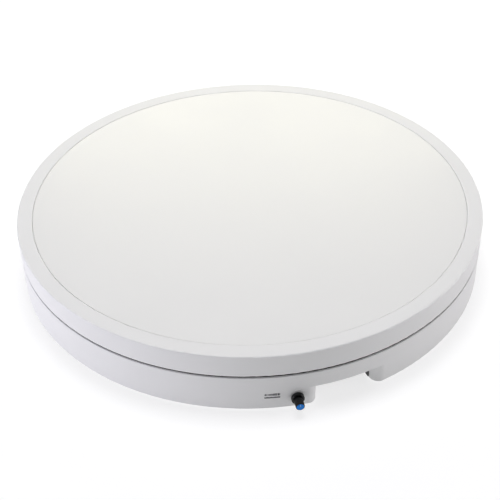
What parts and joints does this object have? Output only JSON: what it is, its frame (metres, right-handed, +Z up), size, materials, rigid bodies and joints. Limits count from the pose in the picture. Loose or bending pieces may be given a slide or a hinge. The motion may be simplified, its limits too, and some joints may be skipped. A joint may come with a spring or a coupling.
{
  "type": "turntable display stand",
  "caption": "Round motorised display turntable: fixed base with cable bay and brightness knob, and a rotating platter with a raised rim round a lit opal panel.",
  "frame": {"origin": "on the rotation axis, at the surface that the feet stand on", "axes": "+Z up along the rotation axis; -Y is the front, on the knob's side; +X to the right seen from the front"},
  "size_m": [0.6, 0.6132, 0.082],
  "materials": {
    "white_casing": "satin moulded",
    "cover_plastic": "fine grain",
    "opal_acrylic": "opal, semi-gloss",
    "clear_acrylic": "clear",
    "foot_rubber": "matte",
    "aluminium": "turned",
    "lamination_steel": "dark lamination stack",
    "bearing_steel": "polished",
    "magnet_steel": "ground",
    "shaft_steel": "ground",
    "zinc_screws": "zinc plated",
    "nylon": "natural nylon",
    "acetal": "natural acetal",
    "brass": "machined",
    "black_plastic": "moulded",
    "plated_nut": "nickel plated",
    "blue_plastic": "moulded",
    "pointer_white": "moulded",
    "mark_ink": "pad-printed ink",
    "green_board": "solder mask",
    "white_board": "white solder mask",
    "led_phosphor": "phosphor under clear resin",
    "wire_jacket": "PVC",
    "red_wire": "PVC"
  },
  "bodies": {
    "base": {"base_shell": "white_casing", "gap_shield": "black_plastic", "bay_liner": "black_plastic", "base_cover": "cover_plastic", "centre_foot": "foot_rubber", "foot_pads": "foot_rubber", "cover_screws": "zinc_screws", "bearing_outer_ring": "aluminium", "bearing_base_screws": "zinc_screws", "motor_caps": "aluminium", "motor_stator": "lamination_steel", "motor_bearings": "bearing_steel", "motor_screws": "zinc_screws", "slip_ring_stator": "black_plastic", "slip_ring_screws": "zinc_screws", "control_board": "green_board", "control_components": "black_plastic", "dimmer_board": "green_board", "dimmer_heatsink": "aluminium", "board_screws": "zinc_screws", "dc_jack": "black_plastic", "dc_jack_pin": "brass", "dc_jack_nut": "plated_nut", "sync_jack": "black_plastic", "sync_jack_nut": "plated_nut", "potentiometer": "black_plastic", "potentiometer_washer": "zinc_screws", "potentiometer_nut": "brass", "brightness_mark": "mark_ink", "power_lead": "wire_jacket", "sync_lead": "wire_jacket", "motor_lead": "wire_jacket", "slip_ring_lead": "wire_jacket", "dimmer_lead": "wire_jacket", "brightness_lead": "wire_jacket"},
    "ball_set": {"ball_cage": "nylon", "bearing_balls": "bearing_steel"},
    "platter": {"platter_rim": "white_casing", "light_panel": "opal_acrylic", "panel_supports": "clear_acrylic", "platter_plate": "cover_plastic", "led_strips": "white_board", "led_chips": "led_phosphor", "led_bus_board": "white_board", "rotor_leads": "red_wire", "bearing_inner_ring": "aluminium", "drive_gear": "acetal", "slip_ring_rotor": "black_plastic", "platter_screws": "zinc_screws", "rim_screws": "zinc_screws", "rotor_screws": "zinc_screws"},
    "motor_armature": {"motor_shaft": "shaft_steel", "motor_rotor": "magnet_steel", "pinion": "brass"},
    "brightness_knob": {"knob": "black_plastic", "knob_cap": "blue_plastic", "knob_pointer": "pointer_white", "potentiometer_shaft": "shaft_steel"}
  },
  "joints": [
    {"name": "platter_spin", "type": "hinge", "parent": "base", "child": "platter", "pos_m": [0, 0, 0], "axis": [0, 0, 1], "continuous": true},
    {"name": "ball_set_spin", "type": "hinge", "parent": "base", "child": "ball_set", "pos_m": [0, 0, 0.052], "axis": [0, 0, 1], "continuous": true},
    {"name": "motor_spin", "type": "hinge", "parent": "base", "child": "motor_armature", "pos_m": [-0.07319, 0.07319, 0.05], "axis": [0, 0, 1], "continuous": true},
    {"name": "knob_turn", "type": "hinge", "parent": "base", "child": "brightness_knob", "pos_m": [0.04879, -0.29601, 0.0159], "axis": [0.1626, -0.9867, 0], "range_deg": [-150, 150]}
  ],
  "couplings": [
    {"joint": "motor_spin", "follows": "platter_spin", "ratio": -6.6667},
    {"joint": "ball_set_spin", "follows": "platter_spin", "ratio": 0.49335}
  ]
}
